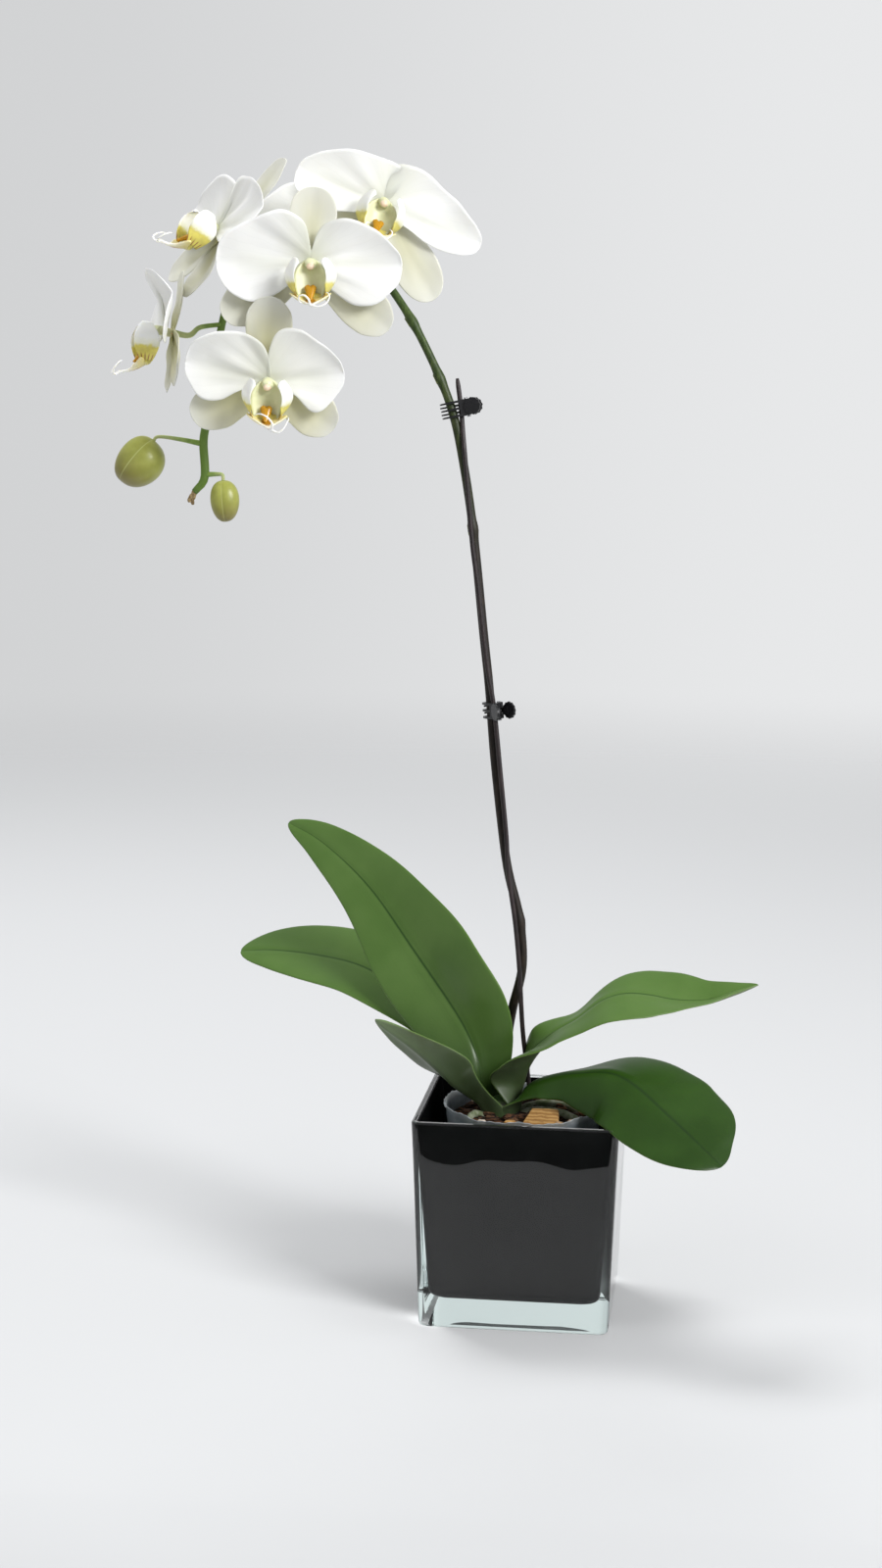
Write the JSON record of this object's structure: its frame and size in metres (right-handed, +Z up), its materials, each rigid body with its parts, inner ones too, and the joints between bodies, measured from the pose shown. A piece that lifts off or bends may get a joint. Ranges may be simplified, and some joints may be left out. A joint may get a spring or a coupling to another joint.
{
  "type": "orchid stem in vase",
  "caption": "Moth orchid with arching white blooms, buds and strap leaves, clipped to a thin stake, growing in bark in a clear nursery pot inside a black lined square glass vase.",
  "frame": {"origin": "middle of the vase's foot, on the surface that it stands on", "axes": "+Z up, -Y towards the front of the vase, -X to the side that the flower spike arches over"},
  "size_m": [0.3836, 0.1866, 0.677],
  "materials": {
    "clear_glass": "polished",
    "black_lacquer": "gloss",
    "clear_polypropylene": "gloss",
    "bark": "matte",
    "split_pine_bark": "matte",
    "orchid_root": "matte",
    "orchid_leaf": "satin",
    "orchid_stem": "satin",
    "dried_stem": "matte",
    "orchid_bud": "satin",
    "dark_rod": "matte",
    "black_abs": "satin",
    "spring_steel": "satin",
    "orchid_petal": "matte",
    "orchid_lip": "satin"
  },
  "bodies": {
    "orchid_and_vase": {"glass_vase": "clear_glass", "vase_lining": "black_lacquer", "nursery_pot": "clear_polypropylene", "bark_mix": "bark", "pale_chip": "split_pine_bark", "crown_and_roots": "orchid_root", "leaf_upright": "orchid_leaf", "leaf_back": "orchid_leaf", "leaf_low": "orchid_leaf", "leaf_right": "orchid_leaf", "leaf_front": "orchid_leaf", "flower_spike": "orchid_stem", "dried_tip": "dried_stem", "bud_large": "orchid_bud", "bud_small": "orchid_bud", "stake": "dark_rod", "clip_upper_fixed_jaw": "black_abs", "clip_upper_pin": "spring_steel", "clip_upper_spring": "spring_steel", "clip_lower_fixed_jaw": "black_abs", "clip_lower_pin": "spring_steel", "clip_lower_spring": "spring_steel", "bloom_1_tepals": "orchid_petal", "bloom_1_lip": "orchid_lip", "bloom_2_tepals": "orchid_petal", "bloom_2_lip": "orchid_lip", "bloom_3_tepals": "orchid_petal", "bloom_3_lip": "orchid_lip", "bloom_4_tepals": "orchid_petal", "bloom_4_lip": "orchid_lip", "bloom_5_tepals": "orchid_petal", "bloom_5_lip": "orchid_lip", "bloom_6_tepals": "orchid_petal", "bloom_6_lip": "orchid_lip"},
    "upper_clip_jaw": {"clip_upper_moving_jaw": "black_abs"},
    "lower_clip_jaw": {"clip_lower_moving_jaw": "black_abs"}
  },
  "joints": [
    {"name": "upper_clip_hinge", "type": "hinge", "parent": "orchid_and_vase", "child": "upper_clip_jaw", "pos_m": [-0.0381, 0, 0.53189], "axis": [-0.2079, 0, 0.9781], "range_deg": [0, 40], "stiffness_Nm_per_rad": 0.02, "springref_deg": -11.46},
    {"name": "lower_clip_hinge", "type": "hinge", "parent": "orchid_and_vase", "child": "lower_clip_jaw", "pos_m": [-0.01693, -0.00678, 0.35746], "axis": [-0.0872, 0, 0.9962], "range_deg": [0, 40], "stiffness_Nm_per_rad": 0.02, "springref_deg": -11.46}
  ]
}
